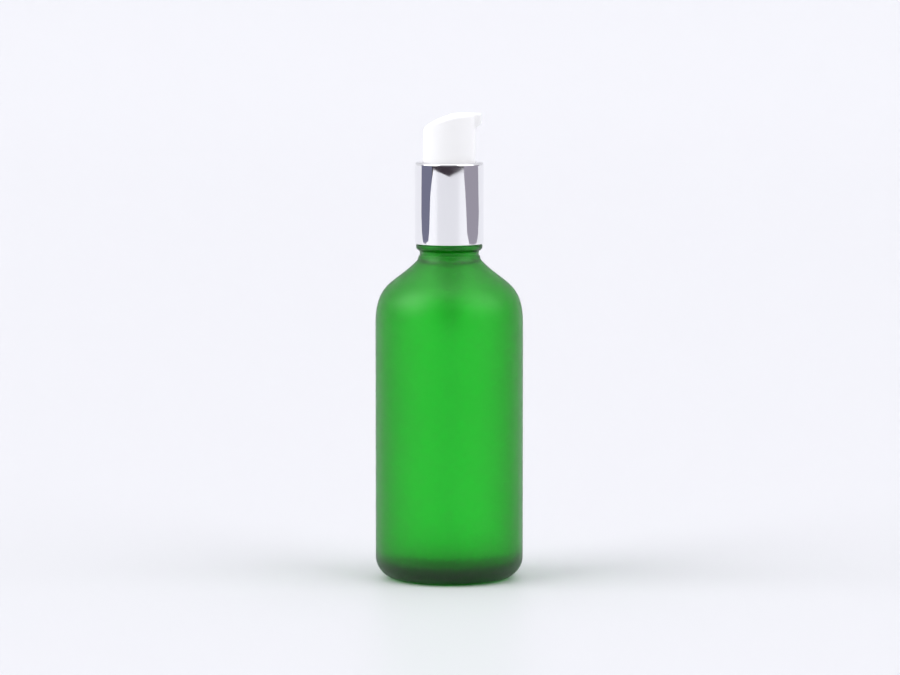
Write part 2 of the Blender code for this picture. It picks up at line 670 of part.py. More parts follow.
def build_spring(parent, top_z):
    """The return spring: open coils with one closed coil at each end."""
    bottom = CYLINDER_FLOOR_Z + SEAT_GAP + SPRING_WIRE_RADIUS
    top = top_z - SEAT_GAP - SPRING_WIRE_RADIUS
    closed_pitch = 2 * SPRING_WIRE_RADIUS + SEAT_GAP
    open_pitch = (top - bottom - 2 * closed_pitch) / SPRING_OPEN_TURNS
    turns = SPRING_OPEN_TURNS + 2
    steps_each = 14
    points = []
    height = bottom
    for i in range(turns * steps_each + 1):
        angle = math.tau * i / steps_each
        x, y = SPRING_MEAN_RADIUS * math.cos(angle), SPRING_MEAN_RADIUS * math.sin(angle)
        points.append((x, y, height - bottom))
        at_end = i < steps_each or i >= (turns - 1) * steps_each
        height += (closed_pitch if at_end else open_pitch) / steps_each
    curve = bpy.data.curves.new("return_spring", "CURVE")
    curve.dimensions = "3D"
    curve.bevel_depth = SPRING_WIRE_RADIUS
    curve.bevel_resolution = 1
    curve.use_fill_caps = True
    spline = curve.splines.new("POLY")
    spline.points.add(len(points) - 1)
    for point, place in zip(spline.points, points):
        point.co = (*place, 1.0)
    add_object("return_spring", curve, bottom, parent, "spring_steel")


def crown(name, shrink, parent):
    """An oval ball whose top is the head's crown, made smaller by the shrink."""
    radius = CROWN_RADIUS - shrink
    centre = (CROWN_X, 0, HEAD_HEIGHT - CROWN_RADIUS)
    stretch = Matrix.Diagonal((radius, CROWN_SIDE_RADIUS - shrink, radius, 1))
    lay_down = Matrix.Rotation(math.radians(90), 4, "X")
    bm = bmesh.new()
    place = Matrix.Translation(centre) @ stretch @ lay_down
    bmesh.ops.create_uvsphere(bm, u_segments=72, v_segments=24, radius=1.0, matrix=place)
    return add_object(name, mesh_from(bm, name), HEAD_Z, parent)


def build_head(parent):
    """The white head: a skirt that slides in the closure, a curved crown and a short spout."""
    over = 1.0 * MM
    spout_top = HEAD_HEIGHT + SPOUT_STEP
    channel_z = spout_top - CHANNEL_DEPTH
    socket = STEM_RADIUS + SLIDE_GAP
    tip_z = spout_top - SPOUT_TIP_HEIGHT
    root_z = tip_z - SPOUT_ROOT_DROP
    blank = [(0, 0), (HEAD_RADIUS, 0), (HEAD_RADIUS, HEAD_HEIGHT + over), (0, HEAD_HEIGHT + over)]
    head = turned("pump_head", blank, HEAD_Z, parent, "white_plastic")
    combine(head, crown("crown_shape", 0, parent), "INTERSECT")
    spout_side = [
        (CROWN_X, root_z),
        (HEAD_RADIUS - 2 * SLIDE_GAP, root_z),
        (SPOUT_REACH, tip_z),
        (SPOUT_REACH, spout_top),
        (CROWN_X - 2 * MM, spout_top),
    ]
    combine(head, prism("spout_shape", spout_side, SPOUT_WIDTH, parent, HEAD_Z), "UNION")

    inside, tower = HEAD_RADIUS - HEAD_WALL, socket + SOCKET_WALL
    stem_stop = channel_z - CHANNEL_RADIUS - CHANNEL_FLOOR
    room = [
        (0, -over),
        (inside, -over),
        (inside, HEAD_HEIGHT + over),
        (tower, HEAD_HEIGHT + over),
        (tower, SOCKET_RECESS),
        (socket, SOCKET_RECESS),
        (socket, stem_stop),
        (STEM_BORE_RADIUS, stem_stop),
        (STEM_BORE_RADIUS, channel_z + CHANNEL_RADIUS / 3),
        (0, channel_z + CHANNEL_RADIUS / 3),
    ]
    pocket = turned("head_pocket", room, HEAD_Z, parent)
    combine(pocket, crown("pocket_ceiling", CROWN_WALL, parent), "INTERSECT")
    wall_start = (socket + SOCKET_WALL / 2, 0, channel_z)
    wall_end = (HEAD_RADIUS + over, 0, channel_z)
    wall_radius = CHANNEL_RADIUS + CHANNEL_WALL
    channel_wall = rod("channel_wall", wall_radius, wall_start, wall_end, parent, HEAD_Z)
    combine(pocket, channel_wall, "DIFFERENCE")
    combine(head, pocket, "DIFFERENCE")

    nozzle_seat = SPOUT_REACH - NOZZLE_LENGTH - SEAT_GAP
    bore_start = (-STEM_BORE_RADIUS / 2, 0, channel_z)
    bore_end = (nozzle_seat + over, 0, channel_z)
    channel = rod("channel_bore", CHANNEL_RADIUS, bore_start, bore_end, parent, HEAD_Z, 16)
    combine(head, channel, "DIFFERENCE")
    seat_start = (nozzle_seat, 0, channel_z)
    seat_end = (SPOUT_REACH + over, 0, channel_z)
    seat_radius = NOZZLE_RADIUS + SLIDE_GAP
    seat = rod("nozzle_seat", seat_radius, seat_start, seat_end, parent, HEAD_Z, 16)
    combine(head, seat, "DIFFERENCE")
    return HEAD_Z + channel_z, HEAD_Z + stem_stop - SEAT_GAP


def build_nozzle(parent, height):
    """The small tube in the spout's tip that sets the size of the jet."""
    outline = [
        (NOZZLE_BORE_RADIUS, 0),
        (NOZZLE_RADIUS, 0),
        (NOZZLE_RADIUS, NOZZLE_LENGTH),
        (NOZZLE_BORE_RADIUS, NOZZLE_LENGTH),
    ]
    mesh = turned_mesh("nozzle_insert", outline, 16)
    mesh.transform(Matrix.Rotation(math.radians(90), 4, "Y"))
    mesh.transform(Matrix.Translation((SPOUT_REACH - NOZZLE_LENGTH, 0, 0)))
    add_object("nozzle_insert", mesh, height, parent, "white_plastic")


def main():
    clear_scene()
    neck_thread_z = build_bottle()
    pump = group("pump_group", FLANGE_Z)
    closure = group("closure_group", SHELL_Z, pump)
    plunger = group("plunger_group", PISTON_Z, pump)
    head = group("head_group", HEAD_Z, plunger)
    build_closure(closure, neck_thread_z)
    build_gasket(pump)
    build_housing_cap(pump)
    ball_z, tube_top_z = build_housing(pump)
    build_ball(pump, ball_z)
    build_dip_tube(pump, tube_top_z)
    channel_z, stem_top_z = build_head(head)
    build_nozzle(head, channel_z)
    stem_foot_z = build_stem(plunger, stem_top_z)
    spring_top_z = build_valve_post(plunger, stem_foot_z)
    build_piston(plunger)
    build_spring(pump, spring_top_z)


main()
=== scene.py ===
# %% [markdown]
# # A frosted glass oil bottle with a press pump
#
# This lesson dresses a finished CAD assembly. The CAD model has every piece at its real size, but
# its round pieces are made of flat facets. Each piece that shows is made again here with a fine
# mesh, in the same place, and every piece gets a material that behaves like the real one.
# Lengths are in metres, +Z is up, and the spout points along +X.

# %% Load the assembly
import math

import bmesh
import bpy
import numpy as np
from mathutils import Matrix, Vector


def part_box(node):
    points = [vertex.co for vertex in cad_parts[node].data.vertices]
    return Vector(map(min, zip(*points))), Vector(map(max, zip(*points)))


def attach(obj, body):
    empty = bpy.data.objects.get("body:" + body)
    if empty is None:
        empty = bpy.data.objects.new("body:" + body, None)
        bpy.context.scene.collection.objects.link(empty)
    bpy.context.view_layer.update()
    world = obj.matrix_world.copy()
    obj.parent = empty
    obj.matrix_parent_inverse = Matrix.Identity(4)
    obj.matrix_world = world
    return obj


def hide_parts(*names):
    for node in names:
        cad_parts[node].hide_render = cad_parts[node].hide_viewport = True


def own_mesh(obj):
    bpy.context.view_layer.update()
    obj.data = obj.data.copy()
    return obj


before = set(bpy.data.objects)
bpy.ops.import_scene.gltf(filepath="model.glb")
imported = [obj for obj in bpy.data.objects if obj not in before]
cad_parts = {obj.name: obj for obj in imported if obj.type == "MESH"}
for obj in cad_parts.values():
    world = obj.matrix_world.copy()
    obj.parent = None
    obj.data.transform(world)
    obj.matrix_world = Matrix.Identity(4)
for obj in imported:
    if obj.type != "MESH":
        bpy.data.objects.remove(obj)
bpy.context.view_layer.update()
MM = 0.001
print("pieces:", ", ".join(sorted(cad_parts)))

# %% [markdown]
# ## Sizes
#
# Where a box or a bore of the CAD model gives a height or a radius, it is read from there, so that
# the new pieces sit exactly where the old ones were. What is written out below is what a box can't
# tell: the walls, the curves between two sizes, and how round an edge is.

# %% Read the sizes
bottle_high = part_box("bottle")[1]
collar_low, collar_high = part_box("collar_shell")
ring_low, ring_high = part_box("closure_ring")
head_low, head_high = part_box("pump_head")
nozzle_low, nozzle_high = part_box("nozzle_insert")
tube_low, tube_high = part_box("dip_tube")
gasket_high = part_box("neck_gasket")[1]

BODY_RADIUS = bottle_high.x
MOUTH_Z = bottle_high.z
BEAD_TOP_Z = collar_low.z - 0.2 * MM
FINISH_RADIUS = gasket_high.y - 0.1 * MM
HEAD_RADIUS = -head_low.x


def widest(node, low, high, inner=False):
    """The radius of a piece between two heights: its outside, or the bore through it."""
    spots = [v.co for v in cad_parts[node].data.vertices if low <= v.co.z <= high]
    radii = [math.hypot(p.x, p.y) for p in spots]
    return min(radii) if inner else max(radii)


NECK_BORE = widest("bottle", BEAD_TOP_Z - 8 * MM, MOUTH_Z, inner=True)
GUIDE_RADIUS = widest("collar_shell", collar_high.z - 1 * MM, collar_high.z, inner=True)
print(f"body {BODY_RADIUS / MM:.2f}, mouth {MOUTH_Z / MM:.2f}, finish {FINISH_RADIUS / MM:.2f}")
print(f"neck bore {NECK_BORE / MM:.2f}, guide {GUIDE_RADIUS / MM:.2f}, head {HEAD_RADIUS / MM:.2f}")

# %% [markdown]
# ## A lathe for fine round pieces
#
# Most of this object is turned or blown in the round. Blender can spin a profile with the Screw
# modifier, but the threads have to grow out of the spun wall, so the lathe here writes the rings
# of vertices itself. The outline is a list of (radius, height) points. Helpers add arcs and
# curves to it, so that every corner is a real rounded edge that catches light.


# %% Lathe helpers
def arc(centre, radius, start, end, steps=8):
    """Points round a corner, from one angle to another in degrees."""
    cx, cz = centre
    rx, rz = radius if isinstance(radius, tuple) else (radius, radius)
    turns = [math.radians(start + (end - start) * i / steps) for i in range(steps + 1)]
    return [(cx + rx * math.cos(a), cz + rz * math.sin(a)) for a in turns]


def curve(a, b, c, d, steps=24):
    """Points along a smooth curve from a to d that leaves towards b and arrives from c."""
    points = []
    for i in range(steps + 1):
        t = i / steps
        shares = ((1 - t) ** 3, 3 * (1 - t) ** 2 * t, 3 * (1 - t) * t**2, t**3)
        points.append(tuple(sum(w * p[k] for w, p in zip(shares, (a, b, c, d))) for k in (0, 1)))
    return points


def straight(a, b, steps, hold=0.06 * MM):
    """Evenly spaced points between a and b, without the two ends.

    One more point close to each end keeps the shading of a flat run from bending at a corner.
    """
    near = hold / math.dist(a, b)
    shares = [near, *(i / steps for i in range(1, steps)), 1 - near]
    return [(a[0] + (b[0] - a[0]) * t, a[1] + (b[1] - a[1]) * t) for t in shares]


def inward(points, distance):
    """The same run of points moved towards the axis, square to the run."""
    moved = []
    for i, (radius, height) in enumerate(points):
        before, after = points[max(i - 1, 0)], points[min(i + 1, len(points) - 1)]
        run = Vector((after[0] - before[0], after[1] - before[1])).normalized()
        moved.append((radius - distance * run.y, height + distance * run.x))
    return moved


def lathe(name, outline, segments=160, swell=None, sharp=None):
    """A closed turned piece. swell(angle, radius, height) may push a point outwards."""
    rings = len(outline)
    angles = np.arange(segments) * math.tau / segments
    spots = np.zeros((rings, segments, 3))
    for i, (radius, height) in enumerate(outline):
        for j, angle in enumerate(angles):
            r = radius + (swell(angle, radius, height) if swell else 0)
            spots[i, j] = (r * math.cos(angle), r * math.sin(angle), height)
    faces = []
    on_axis = outline[0][0] == 0 and outline[-1][0] == 0
    for i in range(rings - 1 if on_axis else rings):
        k = (i + 1) % rings
        for j in range(segments):
            m = (j + 1) % segments
            faces.append((i * segments + j, i * segments + m, k * segments + m, k * segments + j))
    mesh = bpy.data.meshes.new(name)
    mesh.from_pydata(spots.reshape(-1, 3), [], faces)
    return finish_mesh(mesh, name, sharp)


def finish_mesh(mesh, name, sharp=None):
    """Welds a new mesh, points its faces outwards, smooths it and puts it in the scene."""
    bm = bmesh.new()
    bm.from_mesh(mesh)
    bmesh.ops.remove_doubles(bm, verts=bm.verts, dist=1e-7)
    bmesh.ops.dissolve_degenerate(bm, edges=bm.edges, dist=1e-8)
    bmesh.ops.recalc_face_normals(bm, faces=bm.faces)
    loose = sum(1 for e in bm.edges if len(e.link_faces) != 2)
    bm.to_mesh(mesh)
    bm.free()
    mesh.shade_smooth()
    if sharp:
        mesh.set_sharp_from_angle(angle=math.radians(sharp))
    piece = bpy.data.objects.new(name, mesh)
    bpy.context.scene.collection.objects.link(piece)
    print(f"{name}: {len(mesh.polygons)} faces, {loose} open edges")
    return piece


def stands_for(piece, body, node):
    """The fine piece rides on its body and takes the place of its CAD node."""
    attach(piece, body)
    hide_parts(node)


# %% [markdown]
# ## The glass bottle
#
# The bottle is blown in a mould, then dipped in acid, which frosts only the outside. A bottle
# that is one solid lump would bend light wrongly, so the outline goes up the outside, over the
# lip and down the inside. The heel is a wide round, the underside is pushed up so that the bottle
# stands on a ring, and a bead under the collar is what a capping machine grips. The thread is a
# ridge that climbs the neck and fades out at both ends.

# %% Bottle outline
HEEL = 6.6 * MM
WALL = 2.1 * MM
BASE = 4.5 * MM
PUSH_UP = 1.2 * MM
SHOULDER_Z = 77.8 * MM
SHOULDER_TOP_Z = 97.4 * MM
NECK_RADIUS = FINISH_RADIUS + 0.95 * MM
BEAD_RADIUS = NECK_RADIUS + 1.15 * MM
BEAD_Z = BEAD_TOP_Z - 2.2 * MM
THREAD_PITCH, THREAD_DEPTH, THREAD_TURNS = 3.0 * MM, 0.9 * MM, 1.75
THREAD_LOW_Z = MOUTH_Z - 2.1 * MM - THREAD_TURNS * THREAD_PITCH
THREAD_HALF, THREAD_FLANK = 0.82 * MM, 0.5 * MM
# A thread's end fades out over a ninth of a turn.
THREAD_FADE = 9


def ridge(angle, height, turns, half, rise=0):
    """How far a thread stands out at this spot. rise lifts it above the neck's own thread."""
    best = 0
    for turn in range(3):
        along = turn + angle / math.tau
        if along > turns:
            continue
        fade = min(1, along * THREAD_FADE, (turns - along) * THREAD_FADE)
        off = abs(height - THREAD_LOW_Z - rise - along * THREAD_PITCH)
        side = min(1, max(0, (half - off) / THREAD_FLANK))
        best = max(best, THREAD_DEPTH * side * side * (3 - 2 * side) * fade**0.5)
    return best


def thread_swell(angle, radius, height):
    """The neck's thread, which stands out from its wall."""
    if abs(radius - FINISH_RADIUS) > 0.01 * MM or not BEAD_TOP_Z < height < MOUTH_Z:
        return 0
    return ridge(angle, height, THREAD_TURNS, THREAD_HALF)


bearing = BODY_RADIUS - HEEL
shoulder = curve(
    (BODY_RADIUS, SHOULDER_Z),
    (BODY_RADIUS, SHOULDER_Z + 13.1 * MM),
    (NECK_RADIUS + 7.75 * MM, 90.0 * MM),
    (NECK_RADIUS + 0.8 * MM, SHOULDER_TOP_Z),
    48,
)
inner_shoulder = [p for p in inward(shoulder, WALL) if p[0] > NECK_BORE + 1.2 * MM]
inner_radius = BODY_RADIUS - WALL
inner_heel = HEEL - WALL
lip = 0.6 * MM
underside = [
    (0, PUSH_UP),
    *straight((0, PUSH_UP), (bearing - 5.6 * MM, PUSH_UP * 0.9), 5),
    *curve(
        (bearing - 5.6 * MM, PUSH_UP * 0.9),
        (bearing - 3.6 * MM, PUSH_UP * 0.8),
        (bearing - 3.4 * MM, 0),
        (bearing - 2.0 * MM, 0),
        10,
    ),
    *arc((bearing, HEEL), HEEL, -90, 0, 28),
]
neck = [
    *curve(
        (NECK_RADIUS + 0.5 * MM, 98.2 * MM),
        (NECK_RADIUS + 0.42 * MM, 98.5 * MM),
        (NECK_RADIUS + 0.4 * MM, 98.7 * MM),
        (NECK_RADIUS + 0.3 * MM, 98.85 * MM),
        5,
    ),
    *curve(
        (NECK_RADIUS + 0.05 * MM, 99.0 * MM),
        (NECK_RADIUS, 99.2 * MM),
        (NECK_RADIUS, 99.7 * MM),
        (NECK_RADIUS + 0.1 * MM, BEAD_Z + 0.1 * MM),
        6,
    ),
    *curve(
        (NECK_RADIUS + 0.5 * MM, BEAD_Z + 0.4 * MM),
        (BEAD_RADIUS - 0.2 * MM, BEAD_Z + 0.7 * MM),
        (BEAD_RADIUS, BEAD_Z + 0.9 * MM),
        (BEAD_RADIUS, BEAD_Z + 1.3 * MM),
        8,
    ),
    *arc((BEAD_RADIUS - 0.45 * MM, BEAD_TOP_Z - 0.45 * MM), 0.45 * MM, 0, 90, 6),
    (FINISH_RADIUS + 0.4 * MM, BEAD_TOP_Z),
]
finish_low = (FINISH_RADIUS, BEAD_TOP_Z + 0.3 * MM)
finish_high = (FINISH_RADIUS, MOUTH_Z - lip)
inside = [
    *arc((FINISH_RADIUS - lip, MOUTH_Z - lip), lip, 0, 90, 6),
    *arc((NECK_BORE + lip, MOUTH_Z - lip), lip, 90, 180, 6),
    *straight((NECK_BORE, MOUTH_Z - lip), (NECK_BORE, SHOULDER_TOP_Z + 1.2 * MM), 4),
    *curve(
        (NECK_BORE, SHOULDER_TOP_Z + 1.2 * MM),
        (NECK_BORE, SHOULDER_TOP_Z),
        (NECK_BORE + 0.4 * MM, SHOULDER_TOP_Z - 0.8 * MM),
        inner_shoulder[-1],
        8,
    ),
    *inner_shoulder[-2::-1],
    *arc((inner_radius - inner_heel, BASE + inner_heel), inner_heel, 0, -90, 20),
    *straight((inner_radius - inner_heel, BASE), (0, BASE + 0.35 * MM), 6),
    (0, BASE + 0.35 * MM),
]
bottle_outline = [
    *underside,
    *shoulder,
    *neck,
    finish_low,
    *straight(finish_low, finish_high, 60),
    *inside,
]
bottle_glass = lathe("bottle_glass", bottle_outline, 192, thread_swell)
stands_for(bottle_glass, "bottle", "bottle")

# %% [markdown]
# ## The metal collar
#
# The collar is a cup pressed from thin aluminium sheet and slipped over the plastic screw ring.
# Pressing leaves a rounded top edge, a narrow lip that turns in towards the pump head, and a
# bottom edge that is trimmed and slightly softened by polishing. All of it is one thin turned
# wall, because a mirror finish shows up any edge that isn't really round.

# %% Collar
SHELL_WALL = 0.4 * MM
SHELL_ROUND = 0.8 * MM
shell_radius, shell_low, shell_top = collar_high.x, collar_low.z, collar_high.z
soft = 0.12 * MM
collar_outline = [
    *arc((shell_radius - soft, shell_low + soft), soft, -90, 0, 4),
    *straight((shell_radius, shell_low + soft), (shell_radius, shell_top - SHELL_ROUND), 14),
    *arc((shell_radius - SHELL_ROUND, shell_top - SHELL_ROUND), SHELL_ROUND, 0, 90, 12),
    *straight((shell_radius - SHELL_ROUND, shell_top), (GUIDE_RADIUS + soft, shell_top), 3),
    *arc((GUIDE_RADIUS + soft, shell_top - soft), soft, 90, 180, 4),
    (GUIDE_RADIUS, shell_top - SHELL_WALL),
    (shell_radius - SHELL_ROUND, shell_top - SHELL_WALL),
    *arc(
        (shell_radius - SHELL_ROUND, shell_top - SHELL_ROUND), SHELL_ROUND - SHELL_WALL, 90, 0, 6
    )[1:],
    (shell_radius - SHELL_WALL, shell_low + soft),
    *arc((shell_radius - SHELL_WALL + soft, shell_low + soft), soft, 180, 270, 3)[1:],
]
collar_metal = lathe("collar_metal", collar_outline, 192, sharp=50)
stands_for(collar_metal, "closure", "collar_shell")

# %% [markdown]
# ## The pump head
#
# The head is moulded in one shot: a cylinder cut off by a curved, sloping crown, with a short
# square spout growing out of its high side. Cutting and bevelling solids leaves ugly creases
# where the three shapes meet, so the head is described as distances instead. Each simple shape
# says how far a point is from it, a soft maximum or minimum of those numbers rounds the edges
# where shapes cut or join, and straight rays from inside the head find the skin.

# %% Shapes of the head as distances
CROWN_RADIUS, CROWN_SIDE, CROWN_X = 18.2 * MM, 30.8 * MM, 4.0 * MM
CROWN_Z = head_high.z - 0.1 * MM - CROWN_RADIUS
SPOUT_HALF, SPOUT_DEPTH = 2.5 * MM, 4.45 * MM
SPOUT_SLOPE, SPOUT_FLARE = 0.62, 0.12
EDGE_ROUND = 0.75 * MM
FOOT_ROUND = 0.25 * MM


def soft_max(a, b, k):
    """The larger of two distances, rounded over k where they are close."""
    h = np.clip(0.5 + (a - b) / (2 * k), 0, 1)
    return b + (a - b) * h + k * h * (1 - h)


def soft_min(a, b, k):
    """The smaller of two distances, rounded in the same way."""
    return -soft_max(-a, -b, k)


def head_distance(p):
    """How far each point is outside the head's skin."""
    x, y, z = p[..., 0], p[..., 1], p[..., 2]
    tube = np.hypot(x, y) - HEAD_RADIUS
    reach = np.sqrt(
        (x - CROWN_X) ** 2 + (y * CROWN_RADIUS / CROWN_SIDE) ** 2 + (z - CROWN_Z) ** 2
    )
    body = soft_max(tube, reach - CROWN_RADIUS, EDGE_ROUND)
    lean = math.hypot(1, SPOUT_SLOPE)
    under = ((x - HEAD_RADIUS) * SPOUT_SLOPE - (z - (head_high.z - SPOUT_DEPTH))) / lean
    flare = SPOUT_HALF + SPOUT_FLARE * (HEAD_RADIUS - x)
    behind = np.minimum(x - CROWN_X, 0)
    roof = CROWN_Z + np.sqrt(np.maximum(CROWN_RADIUS**2 - behind**2, 0)) + 0.1 * MM
    spout = soft_max(x - head_high.x, z - roof, 0.45 * MM)
    spout = soft_max(spout, under, 0.7 * MM)
    spout = soft_max(spout, np.abs(y) - flare, 0.6 * MM)
    spout = soft_max(spout, -x, 0.5 * MM)
    return soft_min(body, spout, 0.55 * MM)


# %% Cast the skin of the head
CROWDING = 0.62


def cast_skin(name, turns=192):
    """Rays leave the axis, level at first and then fanning up, and stop at the skin."""
    turn_z = head_high.z - 3.0 * MM
    level = np.concatenate(
        [
            np.linspace(head_low.z + FOOT_ROUND, head_low.z + 13 * MM, 14),
            np.linspace(head_low.z + 13.5 * MM, turn_z, 34),
        ]
    )
    fan = np.radians(np.linspace(0, 90, 58)[1:])
    starts = [(z, 0.0) for z in level] + [(turn_z, a) for a in fan]
    # Rays crowd together round the spout, where the shape changes quickest.
    even = np.arange(turns) / turns * math.tau
    angles = even - CROWDING * np.sin(even)
    z0 = np.array([s[0] for s in starts])[:, None]
    tilt = np.array([s[1] for s in starts])[:, None]
    way = np.stack(
        [np.cos(tilt) * np.cos(angles), np.cos(tilt) * np.sin(angles), np.sin(tilt) + 0 * angles],
        axis=-1,
    )
    origin = np.stack([0 * way[..., 0], 0 * way[..., 0], z0 + 0 * way[..., 0]], axis=-1)
    near, far = np.zeros(way.shape[:2]), np.full(way.shape[:2], 14 * MM)
    for _ in range(40):
        middle = (near + far) / 2
        outside = head_distance(origin + way * middle[..., None]) > 0
        far = np.where(outside, middle, far)
        near = np.where(outside, near, middle)
    skin = origin + way * near[..., None]
    # The skirt's foot is slightly rounded and then closed by a flat ring.
    rows = []
    for i in range(4):
        a = math.radians(90 * i / 4)
        row = skin[0].copy()
        row[:, :2] *= 1 - FOOT_ROUND * (1 - math.sin(a)) / HEAD_RADIUS
        row[:, 2] = head_low.z + FOOT_ROUND * (1 - math.cos(a))
        rows.append(row)
    skin = np.concatenate([np.stack(rows), skin], axis=0)
    count = len(skin)
    faces = []
    for i in range(count - 1):
        for j in range(turns):
            m = (j + 1) % turns
            faces.append((i * turns + j, i * turns + m, (i + 1) * turns + m, (i + 1) * turns + j))
    faces.append(tuple(range(turns))[::-1])
    mesh = bpy.data.meshes.new(name)
    mesh.from_pydata(skin.reshape(-1, 3), [], faces)
    return finish_mesh(mesh, name)


def cut_away(piece, tool, operation="DIFFERENCE"):
    """Cuts the tool out of the piece for good, and throws the tool away."""
    step = piece.modifiers.new("cut", "BOOLEAN")
    step.operation = operation
    step.solver = "EXACT"
    step.object = tool
    bpy.context.view_layer.update()
    shape = piece.evaluated_get(bpy.context.evaluated_depsgraph_get())
    done = bpy.data.meshes.new_from_object(shape)
    piece.modifiers.clear()
    piece.data = done
    bpy.data.objects.remove(tool)
    # A cut can leave slivers a few thousandths of a millimetre wide.
    bm = bmesh.new()
    bm.from_mesh(done)
    bmesh.ops.remove_doubles(bm, verts=bm.verts, dist=0.003 * MM)
    bmesh.ops.dissolve_degenerate(bm, edges=bm.edges, dist=0.003 * MM)
    bm.to_mesh(done)
    bm.free()


def along_x(piece, height):
    """Turns a lathed tool onto its side, so that its axis runs along +X at that height."""
    piece.data.transform(Matrix.Rotation(math.radians(90), 4, "Y"))
    piece.data.transform(Matrix.Translation((0, 0, height)))
    return piece


pump_button = cast_skin("pump_button")
skirt_inside = HEAD_RADIUS - 1.0 * MM
stem_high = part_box("stem")[1]
socket_radius = stem_high.x + 0.15 * MM
tower_radius = socket_radius + 0.95 * MM
tower_low = head_low.z + 0.6 * MM
nozzle_z = (nozzle_low.z + nozzle_high.z) / 2
room_top = head_low.z + 14.2 * MM
CHANNEL_RADIUS, CHANNEL_END = 1.1 * MM, 0.55 * MM
room = [
    (0, head_low.z - 1 * MM),
    (skirt_inside, head_low.z - 1 * MM),
    (skirt_inside, room_top - 0.6 * MM),
    *arc((skirt_inside - 0.6 * MM, room_top - 0.6 * MM), 0.6 * MM, 0, 90, 5)[1:],
    (tower_radius + 0.3 * MM, room_top),
    (tower_radius, room_top - 0.3 * MM),
    (tower_radius, tower_low),
    (socket_radius, tower_low),
    (socket_radius, stem_high.z + 0.1 * MM),
    (CHANNEL_RADIUS, stem_high.z + 0.1 * MM),
    (CHANNEL_RADIUS, nozzle_z + 0.3 * MM),
    (CHANNEL_END, nozzle_z + 0.8 * MM),
    (0, nozzle_z + 0.8 * MM),
]
cut_away(pump_button, lathe("room_tool", room, 96))
nozzle_radius = (nozzle_high.z - nozzle_low.z) / 2
mouth = [
    (0, 0.4 * MM),
    (0.9 * MM, 0.4 * MM),
    (0.9 * MM, nozzle_low.x - 0.1 * MM),
    (nozzle_radius + 0.1 * MM, nozzle_low.x - 0.1 * MM),
    (nozzle_radius + 0.1 * MM, nozzle_high.x + 1 * MM),
    (0, nozzle_high.x + 1 * MM),
]
cut_away(pump_button, along_x(lathe("mouth_tool", mouth, 48), nozzle_z))
pump_button.data.shade_smooth()
pump_button.data.set_sharp_from_angle(angle=math.radians(40))
stands_for(pump_button, "head", "pump_head")
print("pump head:", len(pump_button.data.polygons), "faces")

# %% [markdown]
# ## The nozzle insert
#
# A short tube is pushed into the spout. It sets the size of the jet and hides the wide bore that
# the mould needs. Its mouth has a small lead-in, so the edge is seen as a soft ring.

# %% Nozzle insert
NOZZLE_BORE = 0.62 * MM
tip_soft = 0.14 * MM
nozzle_outline = [
    (NOZZLE_BORE, nozzle_low.x),
    (nozzle_radius - tip_soft, nozzle_low.x),
    (nozzle_radius, nozzle_low.x + tip_soft),
    *arc((nozzle_radius - tip_soft, nozzle_high.x - tip_soft), tip_soft, 0, 90, 4),
    *arc((NOZZLE_BORE + 2 * tip_soft, nozzle_high.x - 2 * tip_soft), 2 * tip_soft, 90, 180, 5),
]
nozzle_tip = along_x(lathe("nozzle_tip", nozzle_outline, 48, sharp=50), nozzle_z)
stands_for(nozzle_tip, "head", "nozzle_insert")

# %% [markdown]
# ## The screw ring
#
# The ring under the collar is moulded from white polypropylene. Only its lower edge and the
# bright rim round the head ever show, but when the pump is unscrewed its thread can be seen from
# below, so it has a real one, half a pitch away from the bottle's.

# %% Screw ring
ring_inner = FINISH_RADIUS + THREAD_DEPTH + 0.3 * MM
ring_outer = ring_high.y
RING_TURNS, RING_HALF = 1.5, 0.78 * MM
ledge_low = gasket_high.z + 1.4 * MM
ledge_high = ledge_low + 1.1 * MM
hole = widest("closure_ring", ledge_low, ledge_high, inner=True)


def ring_swell(angle, radius, height):
    """The ring's own thread, which stands in from its wall."""
    if abs(radius - ring_inner) > 0.01 * MM or height > ledge_low - 0.3 * MM:
        return 0
    return -ridge(angle, height, RING_TURNS, RING_HALF, THREAD_PITCH / 2)


ring_soft = 0.25 * MM
ring_outline = [
    (ring_inner + ring_soft, ring_low.z),
    *arc((ring_outer - ring_soft, ring_low.z + ring_soft), ring_soft, -90, 0, 4),
    *arc((ring_outer - 0.75 * MM, ring_high.z - 0.75 * MM), 0.75 * MM, 0, 90, 5),
    *arc((GUIDE_RADIUS + ring_soft, ring_high.z - ring_soft), ring_soft, 90, 180, 4),
    (GUIDE_RADIUS, ledge_high),
    (hole, ledge_high),
    (hole, ledge_low),
    (ring_inner, ledge_low),
    *straight((ring_inner, ledge_low), (ring_inner, ring_low.z + ring_soft), 44),
    (ring_inner, ring_low.z + ring_soft),
]
screw_ring = lathe("screw_ring", ring_outline, 144, ring_swell, sharp=50)
stands_for(screw_ring, "closure", "closure_ring")

# %% [markdown]
# ## The dip tube
#
# A length of unpigmented plastic tube, cut off at a slope so that it can't seal itself against the
# bottle's floor. It is nearly clear, and barely shows through the frosted glass.

